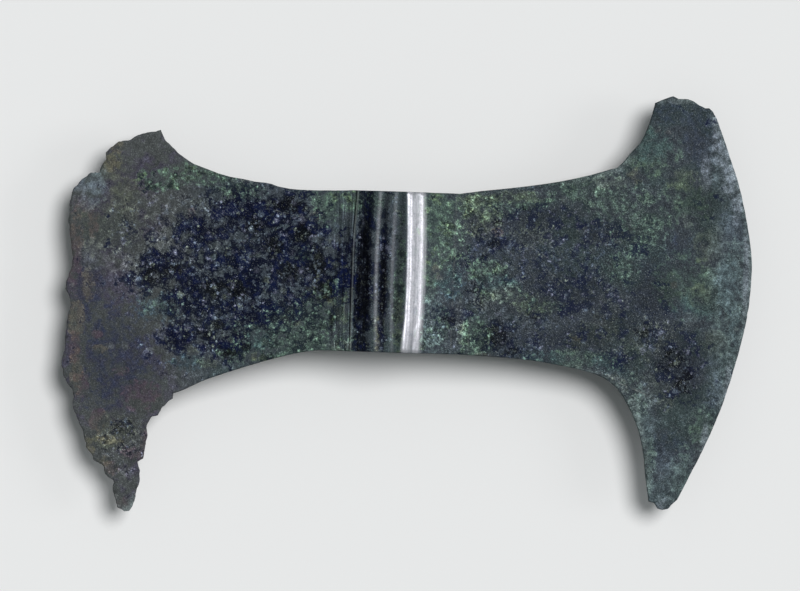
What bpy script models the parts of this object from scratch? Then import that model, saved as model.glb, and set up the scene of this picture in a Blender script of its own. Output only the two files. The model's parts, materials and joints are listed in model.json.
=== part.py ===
"""A bronze double axe head of the Aegean Bronze Age, lying on its side.

One casting: two blades that flare into crescents, and between them a ribbed socket with an oval
hole for the haft. Metres, +Z up. +X runs along the axe to the better kept blade, and +Y runs
along the haft. The origin is on the ground, under the middle of the socket.
"""

import math
from collections import namedtuple

import bmesh
import bpy
from mathutils import Vector
from mathutils.geometry import delaunay_2d_cdt

# The socket and its moulding
WAIST_WIDTH = 0.0450  # across the head at the socket, which is how far it grips the haft
BODY_THICKNESS = 0.0190  # of the plain casting at the foot of the moulding
HOLE_LENGTH = 0.0240  # of the oval hole, along the axe
SOCKET_WALL = 0.0032  # metal left between the hole and the grooves of the moulding
HOLE_FLARE = 0.0006  # wear that widens the mouths of the hole
HOLE_FLARE_DEPTH = 0.0016
CORE_OVERHANG = 0.0032  # how far the core of the hole stands out of either mouth
RIB_PITCH = 0.0045  # from one of the three ribs to the next
MIDDLE_RIB_HEIGHT = 0.0006  # above the grooves beside it
OUTER_RIB_HEIGHT = 0.0003
RIB_SHOULDER = 0.0006  # from an outer rib's crest to the top of the flank
SHOULDER_TILT = 14.0  # degrees
UPPER_FLANK = 0.0016
UPPER_FLANK_TILT = 31.0
SHELF = 0.0017  # the shallow step half way down the flank
SHELF_TILT = 19.0
LOWER_FLANK = 0.0012
LOWER_FLANK_TILT = 31.0
FOOT_FILLET = 0.0011
FOOT_FILLET_TILT = 12.0
RUBBED_OFF = 0.00015  # worn from the ribs on the underside, so that the head lies flat

# The better kept blade, along +X
KEPT_REACH = 0.1017  # from the middle of the socket to the furthest point of the cutting edge
KEPT_UPPER_HORN = 0.0518  # from the axe's centre line to the blunted upper tip
KEPT_LOWER_HORN = 0.0643

# The corroded blade, along -X
WORN_REACH = 0.0910
WORN_UPPER_BREAK = 0.0379  # the height that is left where the upper horn has broken away
WORN_LOWER_HORN = 0.0694
LOST_TO_CORROSION = 0.0060  # between the ragged edge and the edge as it was cast
CAST_EDGE_DROP = 0.0040  # how far that edge's furthest point lay below the centre line

# Both blades
CAST_EDGE_RADIUS = 0.1040  # of the crescent, in plan
EDGE_THICKNESS = 0.0010
ARRIS = 0.0006  # the rounding of the long corners between the faces and the sides

# How finely the surface is divided
RIM_STEP = 0.0026
FACE_STEP = 0.0065
STEPS_PER_HALF_RIB = 4
HOLE_SIDES = 40
SAME_PLACE = 1e-7  # points of the plan that are closer than this are one

# The outline of each blade, from the waist below to the waist above, by way of the cutting edge.
# A side's points are shares of the blade's length, from the moulding's foot to its furthest
# reach, and of the flare, from the waist to the horn's height. An edge's points are shares of
# that length and of the horn's height from the centre line, below it where they are negative.
KEPT_LOWER_SIDE = ((0.10, 0.0), (0.24, 0.012), (0.36, 0.033), (0.50, 0.088), (0.57, 0.148),
                   (0.614, 0.249), (0.655, 0.415), (0.680, 0.600), (0.691, 0.790), (0.703, 0.944))
KEPT_LOWER_TIP = ((0.721, -0.971), (0.731, -0.993), (0.746, -1.0), (0.765, -0.993),
                  (0.777, -0.975))
KEPT_EDGE = ((0.793, -0.953), (0.829, -0.845), (0.864, -0.741), (0.915, -0.564), (0.958, -0.360),
             (0.990, -0.150), (1.0, 0.030), (0.995, 0.190), (0.962, 0.470), (0.919, 0.695),
             (0.878, 0.884))
KEPT_UPPER_TIP = ((0.865, 0.922), (0.853, 0.941), (0.841, 0.940), (0.823, 0.954), (0.805, 0.975),
                  (0.788, 0.986), (0.758, 0.985), (0.741, 1.0), (0.731, 0.994), (0.704, 0.976))
KEPT_UPPER_SIDE = ((0.685, 0.928), (0.674, 0.782), (0.658, 0.635), (0.645, 0.545), (0.616, 0.447),
                   (0.592, 0.350), (0.575, 0.297), (0.554, 0.280), (0.493, 0.219), (0.401, 0.148),
                   (0.279, 0.083), (0.156, 0.031), (0.118, 0.012), (0.095, 0.0))
WORN_LOWER_SIDE = ((0.10, 0.0), (0.16, 0.016), (0.236, 0.049), (0.322, 0.095), (0.423, 0.155),
                   (0.506, 0.210), (0.563, 0.261))
WORN_LOWER_HORN_SIDE = ((0.584, 0.276), (0.603, 0.289), (0.604, 0.317), (0.621, 0.337),
                        (0.640, 0.380), (0.655, 0.422), (0.675, 0.432), (0.692, 0.494),
                        (0.687, 0.544), (0.701, 0.682), (0.717, 0.702), (0.710, 0.751),
                        (0.710, 0.818), (0.719, 0.886), (0.730, 0.964))
WORN_LOWER_TIP = ((0.743, -0.997), (0.762, -1.0), (0.789, -0.986), (0.797, -0.959))
WORN_EDGE = ((0.805, -0.914), (0.808, -0.877), (0.834, -0.852), (0.839, -0.822), (0.875, -0.797),
             (0.902, -0.749), (0.918, -0.674), (0.952, -0.600), (0.958, -0.513), (0.985, -0.480),
             (1.0, -0.420), (0.988, -0.315), (0.985, -0.230), (0.973, -0.177), (0.978, -0.137),
             (0.994, -0.108), (0.987, -0.065), (0.971, -0.014), (0.976, 0.130), (0.991, 0.299),
             (0.986, 0.376), (0.988, 0.453))
WORN_BREAK = ((0.975, 0.550), (0.952, 0.609), (0.916, 0.669), (0.889, 0.674), (0.867, 0.769),
              (0.867, 0.820), (0.849, 0.859), (0.820, 0.906), (0.784, 0.921), (0.745, 0.969),
              (0.715, 0.983), (0.675, 1.0), (0.662, 0.950))
WORN_UPPER_SIDE = ((0.658, 0.830), (0.638, 0.721), (0.607, 0.568), (0.553, 0.388), (0.510, 0.309),
                   (0.468, 0.232), (0.426, 0.180), (0.384, 0.148), (0.342, 0.106), (0.300, 0.090),
                   (0.280, 0.070), (0.262, 0.034), (0.216, -0.006), (0.160, -0.018), (0.10, -0.018))

Blade = namedtuple("Blade", "side reach upper_horn lower_horn cast_reach cast_drop runs")
KEPT_BLADE = Blade(
    1, KEPT_REACH, KEPT_UPPER_HORN, KEPT_LOWER_HORN, KEPT_REACH, 0.0,
    (("side", -1, True, KEPT_LOWER_SIDE), ("edge", -1, False, KEPT_LOWER_TIP),
     ("edge", 1, True, KEPT_EDGE), ("edge", 1, False, KEPT_UPPER_TIP),
     ("side", 1, True, KEPT_UPPER_SIDE)))
WORN_BLADE = Blade(
    -1, WORN_REACH, WORN_UPPER_BREAK, WORN_LOWER_HORN, WORN_REACH + LOST_TO_CORROSION,
    CAST_EDGE_DROP,
    (("side", -1, True, WORN_LOWER_SIDE), ("side", -1, False, WORN_LOWER_HORN_SIDE),
     ("edge", -1, False, WORN_LOWER_TIP), ("edge", 1, False, WORN_EDGE),
     ("edge", 1, False, WORN_BREAK), ("side", 1, True, WORN_UPPER_SIDE)))


def moulding_profile():
    """Half of the moulding, as places from its middle with heights above its grooves."""
    profile = []
    outward, inward = range(STEPS_PER_HALF_RIB), range(-STEPS_PER_HALF_RIB, 0)
    for crest, height, steps in ((0.0, MIDDLE_RIB_HEIGHT, outward),
                                 (RIB_PITCH, OUTER_RIB_HEIGHT, inward)):
        for step in steps:
            share = step / STEPS_PER_HALF_RIB
            swell = (1 + math.cos(math.pi * share)) / 2
            profile.append((crest + share * RIB_PITCH / 2, height * swell))
    place, height = RIB_PITCH, OUTER_RIB_HEIGHT
    profile.append((place, height))
    for run, tilt in ((RIB_SHOULDER, SHOULDER_TILT), (UPPER_FLANK, UPPER_FLANK_TILT),
                      (SHELF, SHELF_TILT), (LOWER_FLANK, LOWER_FLANK_TILT),
                      (FOOT_FILLET, FOOT_FILLET_TILT)):
        place += run
        height -= run * math.tan(math.radians(tilt))
        profile.append((place, height))
    return profile


PROFILE = moulding_profile()
MOULDING_HALF = PROFILE[-1][0]
GROOVE_RISE = -PROFILE[-1][1]  # of the grooves above the plain casting
BODY_HALF = BODY_THICKNESS / 2
EDGE_HALF = EDGE_THICKNESS / 2
REST_HALF = BODY_HALF + GROOVE_RISE + OUTER_RIB_HEIGHT - RUBBED_OFF  # centre line to the ground
WAIST_HALF = WAIST_WIDTH / 2
HOLE_HALF_LENGTH = HOLE_LENGTH / 2
HOLE_HALF_HEIGHT = BODY_HALF + GROOVE_RISE - SOCKET_WALL


def moulding_height(x):
    """How far the moulding stands above the plain casting at x."""
    place = abs(x)
    for (inner, inner_height), (outer, outer_height) in zip(PROFILE, PROFILE[1:]):
        if place <= outer:
            share = (place - inner) / (outer - inner)
            return GROOVE_RISE + inner_height + share * (outer_height - inner_height)
    return 0.0


def half_thickness(x, y):
    """From the middle plane to the face, at one place of the plan."""
    if abs(x) <= MOULDING_HALF:
        return BODY_HALF + moulding_height(x)
    blade = KEPT_BLADE if x > 0 else WORN_BLADE
    offset = min(abs(y + blade.cast_drop), CAST_EDGE_RADIUS)
    sag = CAST_EDGE_RADIUS - math.sqrt(CAST_EDGE_RADIUS ** 2 - offset ** 2)
    share = (abs(x) - MOULDING_HALF) / (blade.cast_reach - sag - MOULDING_HALF)
    return BODY_HALF + (EDGE_HALF - BODY_HALF) * min(share, 1.0)


def plan_point(blade, kind, half, along, across):
    """One point of the outline, from its shares."""
    x = blade.side * (MOULDING_HALF + along * (blade.reach - MOULDING_HALF))
    if kind == "side":
        horn = blade.upper_horn if half > 0 else blade.lower_horn
        return Vector((x, half * (WAIST_HALF + across * (horn - WAIST_HALF))))
    return Vector((x, across * (blade.upper_horn if across > 0 else blade.lower_horn)))


def curve_through(points):
    """A smooth line through a few points, with a point about every rim step."""
    ends = [2 * points[0] - points[1], *points, 2 * points[-1] - points[-2]]
    line = []
    for before, start, end, after in zip(ends, ends[1:], ends[2:], ends[3:]):
        steps = max(1, round((end - start).length / RIM_STEP))
        for step in range(steps):
            t = step / steps
            line.append(0.5 * (2 * start + (end - before) * t
                               + (2 * before - 5 * start + 4 * end - after) * t ** 2
                               + (3 * start - before - 3 * end + after) * t ** 3))
    return [*line, points[-1]]


def blade_rim(blade):
    """A blade's outline, from the waist below to the waist above."""
    rim = []
    for kind, half, smooth, shares in blade.runs:
        points = [plan_point(blade, kind, half, along, across) for along, across in shares]
        rim += curve_through(points) if smooth else points
    return rim


def rib_lines():
    """The places along the axe where the moulding's surface bends, from -X to +X."""
    places = [place for place, _ in PROFILE]
    return [-place for place in reversed(places[1:])] + places


def outline():
    """The whole plan, anticlockwise from the waist's lower corner at -X."""
    lines = rib_lines()
    lower = [Vector((x, -WAIST_HALF)) for x in lines]
    upper = [Vector((x, WAIST_HALF)) for x in reversed(lines)]
    return lower + blade_rim(KEPT_BLADE) + upper + blade_rim(WORN_BLADE)[::-1]


def inset(rim):
    """The outline drawn in by the arris, each point along the inward bisector of its corner."""
    inner = []
    for index, point in enumerate(rim):
        before = (point - rim[index - 1]).normalized()
        after = (rim[(index + 1) % len(rim)] - point).normalized()
        along = (before + after).normalized()
        inward = Vector((-along.y, along.x))
        inner.append(point + inward * min(ARRIS, half_thickness(*point) / 2))
    return inner


def is_inside(point, loop):
    """Whether a point of the plan lies inside a closed loop."""
    inside = False
    for start, end in zip(loop, [*loop[1:], loop[0]]):
        if (start.y > point.y) != (end.y > point.y):
            crossing = start.x + (point.y - start.y) * (end.x - start.x) / (end.y - start.y)
            inside ^= point.x < crossing
    return inside


def face_points(loop):
    """Points inside a face: rows along the ribs, and a grid of staggered rows on the blades."""
    points = []
    rows = round(2 * WAIST_HALF / FACE_STEP)
    for x in rib_lines():
        for row in range(1, rows):
            points.append(Vector((x, WAIST_HALF * (2 * row / rows - 1))))
    clearance = FACE_STEP / 2
    for blade in (KEPT_BLADE, WORN_BLADE):
        columns = int((blade.reach - MOULDING_HALF) / FACE_STEP)
        half_rows = int(max(blade.upper_horn, blade.lower_horn) / FACE_STEP)
        for column in range(1, columns + 1):
            x = blade.side * (MOULDING_HALF + column * FACE_STEP)
            for row in range(-half_rows, half_rows + 1):
                point = Vector((x, (row + column % 2 / 2) * FACE_STEP))
                clear = all((point - other).length > clearance for other in loop)
                if clear and is_inside(point, loop):
                    points.append(point)
    return points


def solid_head():
    """The closed casting, before its hole is cut."""
    rim = outline()
    loop = inset(rim)
    plan = loop + face_points(loop)
    corners = list(range(len(loop)))
    places, _, triangles, *_ = delaunay_2d_cdt(plan, [], [corners], 1, SAME_PLACE)
    body = bmesh.new()
    top, underside = [], []
    for place in places:
        half = half_thickness(*place)
        top.append(body.verts.new((place.x, place.y, REST_HALF + half)))
        underside.append(body.verts.new((place.x, place.y, REST_HALF - min(half, REST_HALF))))
    for a, b, c in triangles:
        body.faces.new((top[a], top[b], top[c]))
        body.faces.new((underside[c], underside[b], underside[a]))
    upper_side, lower_side = [], []
    for outer, inner in zip(rim, loop):
        half = half_thickness(*inner)
        side = half - min(ARRIS, half / 2)
        below = min(half, REST_HALF) - min(ARRIS, half / 2)
        upper_side.append(body.verts.new((outer.x, outer.y, REST_HALF + side)))
        lower_side.append(body.verts.new((outer.x, outer.y, REST_HALF - below)))
    for index in corners:
        after = (index + 1) % len(corners)
        for high, low in ((top, upper_side), (upper_side, lower_side), (lower_side, underside)):
            body.faces.new((high[index], low[index], low[after], high[after]))
    bmesh.ops.triangulate(body, faces=[face for face in body.faces if len(face.verts) > 3])
    bmesh.ops.recalc_face_normals(body, faces=body.faces)
    mesh = bpy.data.meshes.new("axe_head")
    body.to_mesh(mesh)
    body.free()
    return mesh


def hole_cutter():
    """The oval core of the haft hole, a little wider at both mouths."""
    beyond = WAIST_HALF + CORE_OVERHANG
    throat = WAIST_HALF - HOLE_FLARE_DEPTH
    widest = HOLE_FLARE * (beyond - throat) / HOLE_FLARE_DEPTH
    stations = ((-beyond, widest), (-throat, 0.0), (throat, 0.0), (beyond, widest))
    core = bmesh.new()
    rings = []
    for y, wider in stations:
        ring = []
        for side in range(HOLE_SIDES):
            angle = math.tau * side / HOLE_SIDES
            ring.append(core.verts.new((
                (HOLE_HALF_LENGTH + wider) * math.cos(angle), y,
                REST_HALF + (HOLE_HALF_HEIGHT + wider) * math.sin(angle))))
        rings.append(ring)
    for near, far in zip(rings, rings[1:]):
        for side in range(HOLE_SIDES):
            after = (side + 1) % HOLE_SIDES
            core.faces.new((near[side], near[after], far[after], far[side]))
    core.faces.new(rings[0])
    core.faces.new(rings[-1])
    bmesh.ops.recalc_face_normals(core, faces=core.faces)
    mesh = bpy.data.meshes.new("haft_hole_core")
    core.to_mesh(mesh)
    core.free()
    return mesh


def patinated_bronze():
    """Dark bronze, greened and blackened by burial."""
    material = bpy.data.materials.new("patinated_bronze")
    material.use_nodes = True
    shader = material.node_tree.nodes["Principled BSDF"]
    shader.inputs["Base Color"].default_value = (0.045, 0.058, 0.060, 1.0)
    shader.inputs["Roughness"].default_value = 0.45
    shader.inputs["Metallic"].default_value = 0.6
    return material


def add_object(name, mesh):
    made = bpy.data.objects.new(name, mesh)
    bpy.context.scene.collection.objects.link(made)
    return made


def build():
    for old in list(bpy.data.objects):
        bpy.data.objects.remove(old)
    head = add_object("axe_head", solid_head())
    head.data.materials.append(patinated_bronze())
    core = add_object("haft_hole_core", hole_cutter())
    core.hide_render = True
    core.display_type = "WIRE"
    cut = head.modifiers.new("haft hole", "BOOLEAN")
    cut.operation = "DIFFERENCE"
    cut.solver = "EXACT"
    cut.object = core


build()
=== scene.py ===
# %% [markdown]
# A bronze double axe head. It was cast in one piece, with two crescent blades and a ribbed socket
# for the haft, and then lay in the ground for a few thousand years. Burial left it a skin of many
# colours: blue-black metal, green and ochre crust, rust stains and pale grains of soil.
#
# This lesson dresses the plain solid in that skin. The solid says where everything is, so the
# first cell loads it as a fixed frame and notes the box that the finished head has to stay inside.

# %% Load the frame
import json
import math
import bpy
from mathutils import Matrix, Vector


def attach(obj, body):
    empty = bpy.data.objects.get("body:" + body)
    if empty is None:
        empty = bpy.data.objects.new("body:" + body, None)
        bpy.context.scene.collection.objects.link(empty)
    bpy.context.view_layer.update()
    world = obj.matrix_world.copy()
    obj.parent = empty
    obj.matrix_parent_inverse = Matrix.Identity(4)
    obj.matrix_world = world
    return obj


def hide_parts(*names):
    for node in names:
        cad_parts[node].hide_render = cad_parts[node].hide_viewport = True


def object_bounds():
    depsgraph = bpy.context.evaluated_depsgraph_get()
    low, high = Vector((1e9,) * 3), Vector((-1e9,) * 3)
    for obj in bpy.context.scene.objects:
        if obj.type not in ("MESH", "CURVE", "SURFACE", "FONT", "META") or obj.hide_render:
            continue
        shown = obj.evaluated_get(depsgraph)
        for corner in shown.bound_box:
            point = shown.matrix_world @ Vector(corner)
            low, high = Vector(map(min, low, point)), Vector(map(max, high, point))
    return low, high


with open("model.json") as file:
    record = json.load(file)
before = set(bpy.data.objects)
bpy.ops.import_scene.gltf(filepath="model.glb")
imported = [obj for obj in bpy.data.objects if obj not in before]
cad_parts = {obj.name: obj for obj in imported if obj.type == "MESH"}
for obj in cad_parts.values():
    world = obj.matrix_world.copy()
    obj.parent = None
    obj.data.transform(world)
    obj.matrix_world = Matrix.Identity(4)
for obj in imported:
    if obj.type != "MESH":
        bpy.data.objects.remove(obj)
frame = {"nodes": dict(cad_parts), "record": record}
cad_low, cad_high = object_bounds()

from types import SimpleNamespace

import bmesh
import bpy
import numpy as np
from mathutils import Vector, noise
from mathutils.geometry import delaunay_2d_cdt
from mathutils.kdtree import KDTree

MM = 0.001
head_solid = frame["nodes"]["axe_head"]
mounts = {mount["name"]: mount["pos_m"] for mount in frame["record"]["mounts"]}
WAIST_HALF = mounts["haft_wedge_end"][1]
MIDDLE_PLANE = mounts["haft_wedge_end"][2]
scene = bpy.context.scene


def add_object(name, data):
    """A new object in the scene."""
    made = bpy.data.objects.new(name, data)
    scene.collection.objects.link(made)
    return made


print("box in mm:", [round(v / MM, 1) for v in (*cad_low, *cad_high)])
print("middle plane at", round(MIDDLE_PLANE / MM, 2), "mm, waist", 2 * WAIST_HALF / MM, "mm wide")

# %% [markdown]
# The photographer looked straight down on the head from a fair distance with a long lens, so the
# picture has hardly any perspective. The head lay turned by a couple of degrees. Turning the
# camera and not the head keeps the head in its own frame, which is what other users of it need.

# %% Set up the camera
VIEW_WIDTH = 224 * MM  # of the picture, measured on the head's middle plane
VIEW_HEIGHT_ABOVE = 2.0
VIEW_CENTRE = (3.42 * MM, -6.48 * MM)
HEAD_TURN = 1.8  # degrees, clockwise as seen in the picture

camera_data = bpy.data.cameras.new("camera")
camera_data.sensor_fit = "HORIZONTAL"
camera_data.lens = camera_data.sensor_width * VIEW_HEIGHT_ABOVE / VIEW_WIDTH
camera = add_object("camera", camera_data)
camera.location = (*VIEW_CENTRE, MIDDLE_PLANE + VIEW_HEIGHT_ABOVE)
camera.rotation_euler = (0.0, 0.0, math.radians(HEAD_TURN))
scene.camera = camera
print("lens of", round(camera_data.lens, 1), "mm")

# %% [markdown]
# The light is a plain studio set. A broad soft lamp above and to the right throws the short
# shadow at the lower left. A low strip lamp on the right does little for the floor, but the
# burnished flank of the moulding mirrors it. Its two white bands are also painted highlight, laid
# into the flank's colour. A weak even glow fills the rest.
# Lamps made as suns light every part of the floor alike, which keeps the ground one plain tone.

# %% Lights, glow and floor
SUNS = (  # name, strength, then in degrees: elevation, bearing from +X towards +Y, spread
    ("key_lamp", 2.44, 68.0, 37.0, 26.0),
    ("strip_lamp", 0.34, 29.0, 2.0, 22.0),
)
GLOW = (0.188, 0.203, 0.204)  # a little cool, as the shadow shows
FLOOR_TONE = 0.83
FLOOR_HALF = 4.0


def add_sun(name, strength, elevation, bearing, spread):
    """A lamp so far away that its light is parallel, softened by its spread in degrees."""
    lamp = bpy.data.lights.new(name, "SUN")
    lamp.energy = strength
    lamp.angle = math.radians(spread)
    sun = add_object(name, lamp)
    sun.rotation_euler = (0.0, math.radians(90.0 - elevation), math.radians(bearing))


for sun in SUNS:
    add_sun(*sun)

scene.world = bpy.data.worlds.new("studio")
scene.world.use_nodes = True
scene.world.node_tree.nodes["Background"].inputs["Color"].default_value = (*GLOW, 1.0)
scene.view_settings.view_transform = "Standard"

floor_mesh = bpy.data.meshes.new("floor")
floor_mesh.from_pydata([(x * FLOOR_HALF, y * FLOOR_HALF, 0.0)
                        for x, y in ((-1, -1), (1, -1), (1, 1), (-1, 1))], [], [(0, 1, 2, 3)])
floor = add_object("floor", floor_mesh)
paper = bpy.data.materials.new("pale_paper")
paper.use_nodes = True
paper_shader = paper.node_tree.nodes["Principled BSDF"]
paper_shader.inputs["Base Color"].default_value = (FLOOR_TONE, FLOOR_TONE, FLOOR_TONE, 1.0)
paper_shader.inputs["Roughness"].default_value = 1.0
paper_shader.inputs["Specular IOR Level"].default_value = 0.0
floor_mesh.materials.append(paper)
print(len(SUNS), "suns and a floor of", 2 * FLOOR_HALF, "m")

# %% [markdown]
# Both Geometry Nodes and shaders do sums with Math nodes. Adding them one by one makes long code
# that nobody can read. The small class below wraps one output of a node and teaches Python's own
# operators to add the Math nodes, so that a pattern can be written as a formula. Every other kind
# of node comes from one function, which takes its type, its settings and its sockets.

# %% A wire that can be written in sums
class Wire:
    """One output of a node. Arithmetic on it adds Math nodes to its tree."""

    def __init__(self, tree, socket):
        self.tree = tree
        self.socket = socket

    def math(self, operation, *operands):
        return add_node(self.tree, "ShaderNodeMath", {"operation": operation},
                        dict(enumerate(operands)))

    def __add__(self, other):
        return self.math("ADD", self, other)

    def __radd__(self, other):
        return self.math("ADD", other, self)

    def __sub__(self, other):
        return self.math("SUBTRACT", self, other)

    def __rsub__(self, other):
        return self.math("SUBTRACT", other, self)

    def __mul__(self, other):
        return self.math("MULTIPLY", self, other)

    def __rmul__(self, other):
        return self.math("MULTIPLY", other, self)

    def __truediv__(self, other):
        return self.math("DIVIDE", self, other)

    def __pow__(self, other):
        return self.math("POWER", self, other)

    def __rpow__(self, other):
        return self.math("POWER", other, self)

    def __neg__(self):
        return self.math("MULTIPLY", self, -1.0)

    def __abs__(self):
        return self.math("ABSOLUTE", self)

    def at_most(self, other):
        return self.math("MINIMUM", self, other)

    def at_least(self, other):
        return self.math("MAXIMUM", self, other)

    def over(self, other):
        """1 where the wire is greater than the other value, and 0 elsewhere."""
        return self.math("GREATER_THAN", self, other)

    def fade(self, start, end):
        """0 up to the start, 1 past the end, and a smooth rise between them."""
        return add_node(self.tree, "ShaderNodeMapRange", {"interpolation_type": "SMOOTHSTEP"},
                        {"Value": self, "From Min": start, "From Max": end})


def set_curve(mapping, points):
    """Gives a curve its points, each a place and a height from 0 to 1."""
    curve = mapping.curves[0]
    while len(curve.points) < len(points):
        curve.points.new(1.0, 1.0)
    for point, place in zip(curve.points, points):
        point.location = place
    mapping.update()


def add_node(tree, kind, settings=None, values=None, output=0):
    """Adds one node: its settings first, then the values or wires of its sockets."""
    node = tree.nodes.new(kind)
    for name, setting in (settings or {}).items():
        if name == "curve":
            set_curve(node.mapping, setting)
        else:
            setattr(node, name, setting)
    for name, value in (values or {}).items():
        if isinstance(value, Wire):
            tree.links.new(value.socket, node.inputs[name])
        else:
            node.inputs[name].default_value = value
    return Wire(tree, node.outputs[output])


def coordinates_of(place):
    """The X, Y and Z of a place or a direction, as three wires."""
    parts = add_node(place.tree, "ShaderNodeSeparateXYZ", None, {"Vector": place})
    return [Wire(place.tree, socket) for socket in parts.socket.node.outputs]


def scaled(place, amount):
    """A place, a direction or a colour, times a number."""
    return add_node(place.tree, "ShaderNodeVectorMath", {"operation": "SCALE"},
                    {"Vector": place, "Scale": amount})


def noise_in(tree, place, scale, detail=2.0, roughness=0.5):
    """Noise of about 0 to 1, with a number of waves to the unit of the place."""
    return add_node(tree, "ShaderNodeTexNoise", None, {
        "Vector": place, "Scale": scale, "Detail": detail, "Roughness": roughness})


print("operators ready:", ", ".join(name for name in vars(Wire) if name.startswith("__")))

# %% [markdown]
# The outline comes first. The solid already has the true outline, so it is read from there: it is
# the chain of edges where the upright side of the head meets the rounded corner above it. It
# could be typed in again as points, but then two files would hold the same shape.

# %% Read the outline from the solid
WELD = 1e-6
UPRIGHT = 0.01  # how far a side's normal may lean


def rim_of(solid, middle):
    """The head's outline in plan, anticlockwise, from the upper edge of the solid's side."""
    body = bmesh.new()
    body.from_mesh(solid.data)
    bmesh.ops.remove_doubles(body, verts=body.verts, dist=WELD)
    neighbours = {}
    for edge in body.edges:
        lean, above = sorted((face.normal.z for face in edge.link_faces), key=abs)
        if abs(lean) < UPRIGHT < above and min(vert.co.z for vert in edge.verts) > middle:
            start, end = edge.verts
            neighbours.setdefault(start, []).append(end)
            neighbours.setdefault(end, []).append(start)
    chain = [next(iter(neighbours))]
    here = neighbours[chain[0]][0]
    while here is not chain[0]:
        before = chain[-1]
        chain.append(here)
        here = next(vert for vert in neighbours[here] if vert is not before)
    loop = np.array([vert.co.xy for vert in chain])
    body.free()
    ahead = np.roll(loop, -1, axis=0)
    area = np.sum(loop[:, 0] * ahead[:, 1] - ahead[:, 0] * loop[:, 1]) / 2
    return loop if area > 0 else loop[::-1]


solid_rim = rim_of(head_solid, MIDDLE_PLANE)
print("outline of", len(solid_rim), "points")

# %% [markdown]
# Corrosion eats a thin cutting edge into crumbs. The outline is cut into short steps, and each
# point is moved inwards by a crumbly noise: a lot along the worn blade, and hardly at all where
# the metal is thick or well kept. Moving points only inwards keeps the head inside its own box.

# %% Crumble the outline
RIM_STEP = 0.5 * MM
EATEN_EVERYWHERE = 0.03 * MM
EATEN_ON_WORN_BLADE = 0.60 * MM
EATEN_ON_KEPT_EDGE = 0.16 * MM
WORN_FROM = -52 * MM  # the worn blade's crumbling starts here and is full further out
WORN_TO = -66 * MM
KEPT_FROM = 60 * MM
KEPT_TO = 72 * MM
CRUMB_SIZE = 2.6 * MM
CRUMB_LAYERS = (0.8, 2.1, 4)  # how fast finer layers fade, how much finer each is, how many


def subdivided(loop, step):
    """The same closed line with a point at least every step."""
    ahead = np.roll(loop, -1, axis=0)
    pieces = []
    for start, end in zip(loop, ahead):
        count = max(1, math.ceil(np.linalg.norm(end - start) / step))
        shares = np.arange(count)[:, None] / count
        pieces.append(start + (end - start) * shares)
    return np.concatenate(pieces)


def rise(values, start, end):
    """0 at the start, 1 at the end, and smooth between them, for whole arrays."""
    share = np.clip((values - start) / (end - start), 0.0, 1.0)
    return share * share * (3 - 2 * share)


def inward_of(loop):
    """The direction into the head at each point of an anticlockwise outline."""
    along = np.roll(loop, -1, axis=0) - np.roll(loop, 1, axis=0)
    along /= np.linalg.norm(along, axis=1)[:, None]
    return np.column_stack((-along[:, 1], along[:, 0]))


def crumbled(loop):
    """The outline after burial, eaten inwards by noise."""
    bites = [noise.fractal(Vector((x, y, 0.0)) / CRUMB_SIZE, *CRUMB_LAYERS) * 0.5 + 0.5
             for x, y in loop]
    wear = EATEN_ON_WORN_BLADE * rise(loop[:, 0], WORN_FROM, WORN_TO)
    wear += EATEN_ON_KEPT_EDGE * rise(loop[:, 0], KEPT_FROM, KEPT_TO)
    depth = EATEN_EVERYWHERE + wear * np.clip(bites, 0.0, 1.0) ** 2
    return loop + inward_of(loop) * depth[:, None]


rim = crumbled(subdivided(solid_rim, RIM_STEP))
print("crumbled outline of", len(rim), "points")

# %% [markdown]
# Next comes a blank: a flat, closed pancake with that outline. Its faces are filled with small
# triangles by Delaunay triangulation, which takes any set of points. So the rows can stand close
# together on the ribs and at the rim, where the form bends, and further apart on the underside.
# The blank's height only says which face a point is on: 1 on top, -1 underneath.

# %% Scatter points inside the outline
TOP_STEP = 0.58 * MM
UNDERSIDE_STEP = 0.85 * MM
RIM_INSETS = (0.17 * MM, 0.40 * MM)
INSET_SLACK = 0.9  # share of an inset that has to stay clear, so that points don't bunch in nooks
RIB_ZONE = 11.4 * MM  # half the width of the moulding and its scribed lines
RIB_STEP = 0.28 * MM
ROW_PITCH = math.sqrt(3) / 2  # of rows of equal triangles, for a step of 1


def crossings(loop, y):
    """Where a line across the head at y cuts the outline, from left to right."""
    ahead = np.roll(loop, -1, axis=0)
    cut = (loop[:, 1] > y) != (ahead[:, 1] > y)
    start, end = loop[cut], ahead[cut]
    share = (y - start[:, 1]) / (end[:, 1] - start[:, 1])
    return np.sort(start[:, 0] + share * (end[:, 0] - start[:, 0]))


def blade_points(loop, step):
    """Staggered rows of points on both blades, up to the moulding."""
    points = []
    row_height = step * ROW_PITCH
    rows = range(math.ceil(loop[:, 1].min() / row_height), int(loop[:, 1].max() / row_height) + 1)
    for row in rows:
        cuts = crossings(loop, row * row_height)
        for left, right in zip(cuts[::2], cuts[1::2]):
            shift = row % 2 / 2
            first = math.ceil(left / step - shift)
            x = (np.arange(first, int(right / step - shift) + 1) + shift) * step
            x = x[abs(x) > RIB_ZONE]
            points.append(np.column_stack((x, np.full(len(x), row * row_height))))
    return np.concatenate(points)


def moulding_points(step):
    """Close columns of points along the ribs."""
    columns = round(RIB_ZONE / RIB_STEP)
    rows = round(2 * WAIST_HALF / step)
    x = np.arange(-columns, columns + 1) * (RIB_ZONE / columns)
    y = WAIST_HALF * (2 * np.arange(1, rows) / rows - 1)
    return np.array([(place, height) for height in y for place in x])


def search_tree(loop):
    """Finds the nearest of a loop's points."""
    tree = KDTree(len(loop))
    for index, (x, y) in enumerate(loop):
        tree.insert((x, y, 0.0), index)
    tree.balance()
    return tree


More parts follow.
